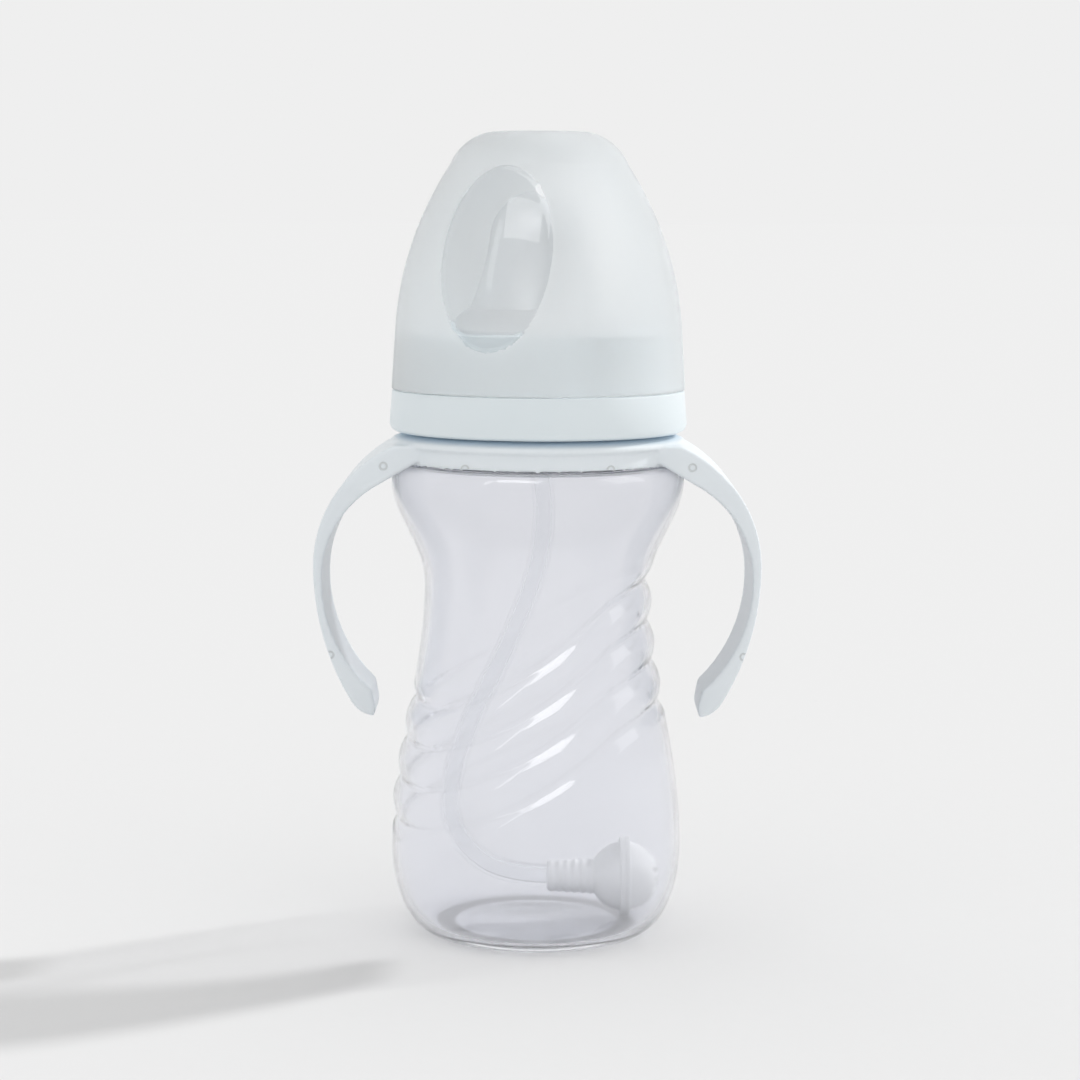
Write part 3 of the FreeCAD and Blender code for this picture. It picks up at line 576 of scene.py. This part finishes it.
class Finish:
    """A node material under construction. Its patterns use the piece's own coordinates, in metres."""

    def __init__(self, name):
        self.material = bpy.data.materials.new(name)
        self.material.use_nodes = True
        self.nodes = self.material.node_tree.nodes
        self.links = self.material.node_tree.links
        self.shader = self.nodes["Principled BSDF"]
        self.coordinates = self.nodes.new("ShaderNodeTexCoord").outputs
        self.where = self.coordinates["Object"]

    def set(self, **values):
        for word, value in values.items():
            self.shader.inputs[word.replace("_", " ")].default_value = value
        return self

    def noise(self, scale, detail=3.0, stretch=(1, 1, 1)):
        mapping = self.nodes.new("ShaderNodeMapping")
        mapping.inputs["Scale"].default_value = stretch
        self.links.new(self.where, mapping.inputs["Vector"])
        noise = self.nodes.new("ShaderNodeTexNoise")
        noise.inputs["Scale"].default_value = scale
        noise.inputs["Detail"].default_value = detail
        self.links.new(mapping.outputs["Vector"], noise.inputs["Vector"])
        return noise.outputs["Fac"]

    def spread(self, value, low, high, start=0.3, end=0.7):
        """Maps a pattern's value from start..end to low..high."""
        node = self.nodes.new("ShaderNodeMapRange")
        node.inputs["From Min"].default_value = start
        node.inputs["From Max"].default_value = end
        node.inputs["To Min"].default_value = low
        node.inputs["To Max"].default_value = high
        self.links.new(value, node.inputs["Value"])
        return node.outputs["Result"]

    def math(self, kind, first, second=None):
        node = self.nodes.new("ShaderNodeMath")
        node.operation = kind
        for socket, value in zip(node.inputs, (first, second)):
            if isinstance(value, (int, float)):
                socket.default_value = value
            elif value is not None:
                self.links.new(value, socket)
        return node.outputs[0]

    def mix(self, share, first, second):
        node = self.nodes.new("ShaderNodeMix")
        node.data_type = "RGBA"
        self.links.new(share, node.inputs["Factor"])
        for socket, value in ((node.inputs[6], first), (node.inputs[7], second)):
            if isinstance(value, tuple):
                socket.default_value = (*value, 1)
            else:
                self.links.new(value, socket)
        return node.outputs[2]

    def split(self, kind="Object"):
        node = self.nodes.new("ShaderNodeSeparateXYZ")
        self.links.new(self.coordinates[kind], node.inputs[0])
        return node.outputs

    def colour(self, value):
        self.links.new(value, self.shader.inputs["Base Color"])
        return self

    def rough(self, value):
        self.links.new(value, self.shader.inputs["Roughness"])
        return self

    def bump(self, height, distance, strength=1.0):
        node = self.nodes.new("ShaderNodeBump")
        node.inputs["Strength"].default_value = strength
        node.inputs["Distance"].default_value = distance * MM
        self.links.new(height, node.inputs["Height"])
        self.links.new(node.outputs["Normal"], self.shader.inputs["Normal"])
        return self

    def clear_shadow(self, tint, edge_tint):
        """Light that would be shadowed passes through, tinted, and with no tint low in the foot."""
        path = self.nodes.new("ShaderNodeLightPath")
        clear = self.nodes.new("ShaderNodeBsdfTransparent")
        facing = self.nodes.new("ShaderNodeLayerWeight")
        facing.inputs["Blend"].default_value = 0.35
        shade = self.mix(facing.outputs["Facing"], tint, edge_tint)
        above_foot = self.spread(self.split()[2], 0, 1, FOOT_GLOW_LOW * MM, FOOT_GLOW_HIGH * MM)
        self.links.new(self.mix(above_foot, (1, 1, 1), shade), clear.inputs["Color"])
        both = self.nodes.new("ShaderNodeMixShader")
        self.links.new(path.outputs["Is Shadow Ray"], both.inputs["Fac"])
        self.links.new(self.shader.outputs[0], both.inputs[1])
        self.links.new(clear.outputs[0], both.inputs[2])
        self.links.new(both.outputs[0], self.nodes["Material Output"].inputs["Surface"])
        return self


def clear_plastic():
    """Body: clear, with a faint violet tint and the slight unevenness of blown plastic."""
    made = Finish("clear_body")
    made.set(Transmission_Weight=0.94, IOR=1.18, Coat_Weight=0.6, Coat_Roughness=0.06)
    tone = made.mix(made.spread(made.noise(18), 0, 1), (0.958, 0.964, 0.992), (0.944, 0.952, 0.984))
    made.colour(tone).rough(made.spread(made.noise(60, 4), 0.08, 0.14))
    made.bump(made.noise(70, 2, (1, 1, 0.35)), 0.10, 0.5)
    return made.clear_shadow((0.90, 0.90, 0.905), (0.74, 0.74, 0.75)).material


def frosted_plastic():
    """Hood's outer face: fine even grain."""
    made = Finish("frosted_hood")
    made.set(Transmission_Weight=0.52, IOR=1.35, Specular_IOR_Level=0.4)
    grain = made.noise(2600, 2)
    tone = made.mix(made.spread(made.noise(30), 0, 1), (0.958, 0.984, 0.994), (0.942, 0.972, 0.984))
    made.colour(tone).rough(made.spread(grain, 0.42, 0.52)).bump(grain, 0.03, 0.6)
    return made.clear_shadow((0.88, 0.89, 0.90), (0.72, 0.72, 0.72)).material


def window_plastic():
    """Hood's windows and inner face: polished."""
    made = Finish("clear_window")
    made.set(Transmission_Weight=0.95, IOR=1.30, Specular_IOR_Level=0.15)
    tone = made.mix(made.spread(made.noise(40), 0, 1), (0.975, 0.985, 0.99), (0.96, 0.975, 0.985))
    made.colour(tone).rough(made.spread(made.noise(90, 4), 0.02, 0.06))
    made.bump(made.noise(60, 2), 0.03, 0.4)
    return made.clear_shadow((0.96, 0.96, 0.96), (0.75, 0.75, 0.75)).material


def ring_plastic():
    """Screw ring: satin, faintly translucent."""
    made = Finish("pale_ring")
    made.set(Specular_IOR_Level=0.45, Subsurface_Weight=0.15, Subsurface_Radius=(0.002, 0.002, 0.002))
    tone = made.mix(made.spread(made.noise(50), 0, 1), (0.795, 0.855, 0.880), (0.775, 0.840, 0.866))
    made.colour(tone).rough(made.spread(made.noise(900, 3), 0.30, 0.42))
    made.bump(made.noise(1400, 2), 0.02, 0.5)
    return made.material


PIN_MARKS = [(33.8, 107.6), (46.2, 64.4), (15.7, 107.8)]   # distance from the middle, and height
PIN_RADIUS = 0.75
UNDER_RING_PAINTED_SHADE = (0.62, 0.76, 0.90)   # painted shade: the ring's shade on the frame's top, in the narrow gap under the ring


def handle_plastic():
    """Handle frame: satin and slightly translucent, with the marks of the mould's pins, and a painted shade
    on its top in the narrow gap under the ring.
    """
    made = Finish("pale_handle")
    made.set(Subsurface_Weight=0.25, Subsurface_Radius=(0.004, 0.004, 0.004), Specular_IOR_Level=0.45)
    across, along, up = made.split()
    mark = None
    for x, z in PIN_MARKS:
        off_x = made.math("SUBTRACT", made.math("ABSOLUTE", across), x * MM)
        off_z = made.math("SUBTRACT", up, z * MM)
        reach = made.math("SQRT", made.math("ADD", made.math("MULTIPLY", off_x, off_x),
                                            made.math("MULTIPLY", off_z, off_z)))
        off_circle = made.math("ABSOLUTE", made.math("SUBTRACT", reach, PIN_RADIUS * MM))
        spot = made.spread(off_circle, 1, 0, 0.10 * MM, 0.30 * MM)
        mark = spot if mark is None else made.math("MAXIMUM", mark, spot)
    front = made.spread(along, 1, 0, -3 * MM, -2 * MM)
    faces_front = made.spread(made.split("Normal")[1], 1, 0, -0.80, -0.60)
    mark = made.math("MULTIPLY", mark, made.math("MULTIPLY", front, faces_front))
    tone = made.mix(made.spread(made.noise(35), 0, 1), (0.830, 0.875, 0.905), (0.812, 0.860, 0.892))
    # Painted shade: the frame's top turns blue-grey just under the ring, standing in for the ring's shade
    # there.
    under_ring_shade_mask = made.spread(up, 0, 1, (FRAME_TOP - 1.3) * MM, (FRAME_TOP - 0.3) * MM)
    tone = made.mix(under_ring_shade_mask, tone, UNDER_RING_PAINTED_SHADE)
    made.colour(made.mix(mark, tone, (0.66, 0.69, 0.70)))
    made.rough(made.spread(made.noise(800, 3), 0.32, 0.44))
    grain = made.noise(1500, 2)
    made.bump(made.math("SUBTRACT", made.math("MULTIPLY", grain, 0.08), mark), 0.25, 0.6)
    return made.material


def clear_silicone():
    """Straw: nearly clear."""
    made = Finish("silicone_tube")
    made.set(Transmission_Weight=1.0, IOR=1.07)
    tone = made.mix(made.spread(made.noise(60), 0, 1), (0.972, 0.975, 0.978), (0.955, 0.960, 0.966))
    made.colour(tone).rough(made.spread(made.noise(300, 3), 0.08, 0.14))
    made.bump(made.noise(400, 2), 0.02, 0.4)
    return made.clear_shadow((0.96, 0.96, 0.96), (0.80, 0.80, 0.80)).material


def soft_silicone():
    """Teat: translucent, slightly tacky surface."""
    made = Finish("silicone")
    made.set(Transmission_Weight=0.3, IOR=1.41, Subsurface_Weight=0.4)
    made.set(Subsurface_Radius=(0.004, 0.004, 0.004))
    tone = made.mix(made.spread(made.noise(45), 0, 1), (0.955, 0.965, 0.975), (0.935, 0.948, 0.960))
    made.colour(tone).rough(made.spread(made.noise(400, 3), 0.28, 0.40))
    made.bump(made.noise(500, 3), 0.03, 0.5)
    return made.clear_shadow((0.92, 0.92, 0.92), (0.70, 0.70, 0.70)).material


def white_plastic():
    """Weighted end and straw seat: milky moulded plastic."""
    made = Finish("white_plastic")
    made.set(Subsurface_Weight=0.4, Subsurface_Radius=(0.003, 0.003, 0.003), Specular_IOR_Level=0.4)
    tone = made.mix(made.spread(made.noise(120), 0, 1), (0.950, 0.955, 0.950), (0.925, 0.932, 0.928))
    made.colour(tone).rough(made.spread(made.noise(700, 3), 0.30, 0.45))
    made.bump(made.noise(900, 2), 0.03, 0.5)
    return made.material


def turned_steel():
    """The slug inside the weighted end: lathe marks round its axis."""
    made = Finish("steel")
    made.set(Metallic=1.0)
    lines = made.noise(1200, 2, (1, 0.02, 0.02))
    made.colour(made.mix(made.spread(lines, 0, 1), (0.62, 0.62, 0.63), (0.50, 0.50, 0.52)))
    made.rough(made.spread(lines, 0.22, 0.38)).bump(lines, 0.02, 0.6)
    return made.material


def floor_paper():
    made = Finish("floor")
    tone = made.mix(made.spread(made.noise(300), 0, 1), FLOOR_TONE, tuple(v * 0.996 for v in FLOOR_TONE))
    made.colour(tone).set(Roughness=1.0, Specular_IOR_Level=0.0)
    return made.material


# ---------------------------------------------------------------- light and floor

WORLD_TONE = (0.835, 0.835, 0.835)
BACKDROP_TONE = (0.863, 0.863, 0.863)
FLOOR_TONE = (0.785, 0.785, 0.785)
FLOOR_HALF = 60   # metres, so that its edge meets the backdrop far off
SUN_HEADING = Vector((-0.87, -0.46, -0.62))
SUN_STRENGTH = 1.6
SUN_SOFTNESS = 4.0


def make_world():
    """Even grey light. What is seen directly or through clear plastic is as light as the lit floor."""
    world = bpy.data.worlds.new("studio")
    world.use_nodes = True
    nodes, links = world.node_tree.nodes, world.node_tree.links
    path = nodes.new("ShaderNodeLightPath")
    seen = nodes.new("ShaderNodeMath")
    seen.operation = "MAXIMUM"
    links.new(path.outputs["Is Camera Ray"], seen.inputs[0])
    links.new(path.outputs["Is Transmission Ray"], seen.inputs[1])
    tone = nodes.new("ShaderNodeMix")
    tone.data_type = "RGBA"
    tone.inputs[6].default_value = (*WORLD_TONE, 1)
    tone.inputs[7].default_value = (*BACKDROP_TONE, 1)
    links.new(seen.outputs[0], tone.inputs["Factor"])
    links.new(tone.outputs[2], nodes["Background"].inputs["Color"])
    bpy.context.scene.world = world


def make_sun():
    data = bpy.data.lights.new("key", "SUN")
    data.energy = SUN_STRENGTH
    data.angle = math.radians(SUN_SOFTNESS)
    light = bpy.data.objects.new("key", data)
    bpy.context.scene.collection.objects.link(light)
    light.rotation_mode = "QUATERNION"
    light.rotation_quaternion = SUN_HEADING.to_track_quat("-Z", "Y")
    light.location = -SUN_HEADING
    light.visible_transmission = False
    light.visible_glossy = False


def make_panel(name, at, aim, width, height, power):
    data = bpy.data.lights.new(name, "AREA")
    data.shape = "RECTANGLE"
    data.size = width
    data.size_y = height
    data.energy = power
    light = bpy.data.objects.new(name, data)
    bpy.context.scene.collection.objects.link(light)
    light.location = at
    light.rotation_mode = "QUATERNION"
    light.rotation_quaternion = (Vector(aim) - Vector(at)).to_track_quat("-Z", "Y")
    light.visible_diffuse = False
    light.visible_transmission = False


def make_floor():
    mesh = bpy.data.meshes.new("floor")
    half = FLOOR_HALF
    corner_points = [(-half, -half, 0), (half, -half, 0), (half, half, 0), (-half, half, 0)]
    mesh.from_pydata(corner_points, [], [(0, 1, 2, 3)])
    floor = link("floor", mesh)
    mesh.materials.append(floor_paper())


# ---------------------------------------------------------------- put together

BOUNCES = 20   # enough for light that crosses the hood, the teat and both walls of the body


def dress(piece, material, slot, body, *nodes):
    piece.data.materials.clear()
    piece.data.materials.append(material)
    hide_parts(*nodes)
    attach(piece, body)
    return piece


CLEAR, FROSTED, WINDOW = clear_plastic(), frosted_plastic(), window_plastic()
RING, HANDLE, WHITE = ring_plastic(), handle_plastic(), white_plastic()
SILICONE, TUBE, STEEL = soft_silicone(), clear_silicone(), turned_steel()

dress(make_bottle(), CLEAR, "clear_body", "bottle", "bottle_body")
dress(make_handles(), HANDLE, "pale_handle", "handle", "handle_frame")
dress(make_ring(), RING, "pale_ring", "ring", "screw_ring")
dress(make_teat(), SILICONE, "silicone", "teat_seat", "teat")
dress(make_seat(), WHITE, "white_plastic", "teat_seat", "straw_seat")
dress(straw, TUBE, "silicone", "straw", "straw_tube")
neck_half = dress(make_neck_half(), WHITE, "white_plastic", "straw", "weight_neck_half")
inlet_half = dress(make_inlet_half(), WHITE, "white_plastic", "straw", "weight_inlet_half")
slug = dress(make_slug(), STEEL, "steel", "straw", "weight_slug")

hood, inner_count = make_hood()
dress(hood, FROSTED, "frosted_hood", "hood", "hood")
hood.data.materials.append(WINDOW)
for polygon in hood.data.polygons:
    centre = np.array(polygon.center) / MM
    inside = min(polygon.vertices) < inner_count
    polygon.material_index = 1 if inside or window_reach(centre) < 1 else 0

make_floor()
make_world()
make_sun()
make_panel("side_softbox", (0.90, -0.15, 0.72), (0, 0, 0.14), 0.60, 0.55, 1.8)
make_panel("left_strip", (-0.7, -0.75, 0.75), (0, 0, 0.10), 0.10, 0.5, 0.6)
make_panel("front_softbox", (-0.25, -0.75, 0.95), (0, 0, 0.07), 0.60, 0.30, 3.6)
bpy.context.scene.view_settings.view_transform = "Standard"
for limit in ("max_bounces", "glossy_bounces", "transmission_bounces", "transparent_max_bounces"):
    setattr(bpy.context.scene.cycles, limit, BOUNCES)
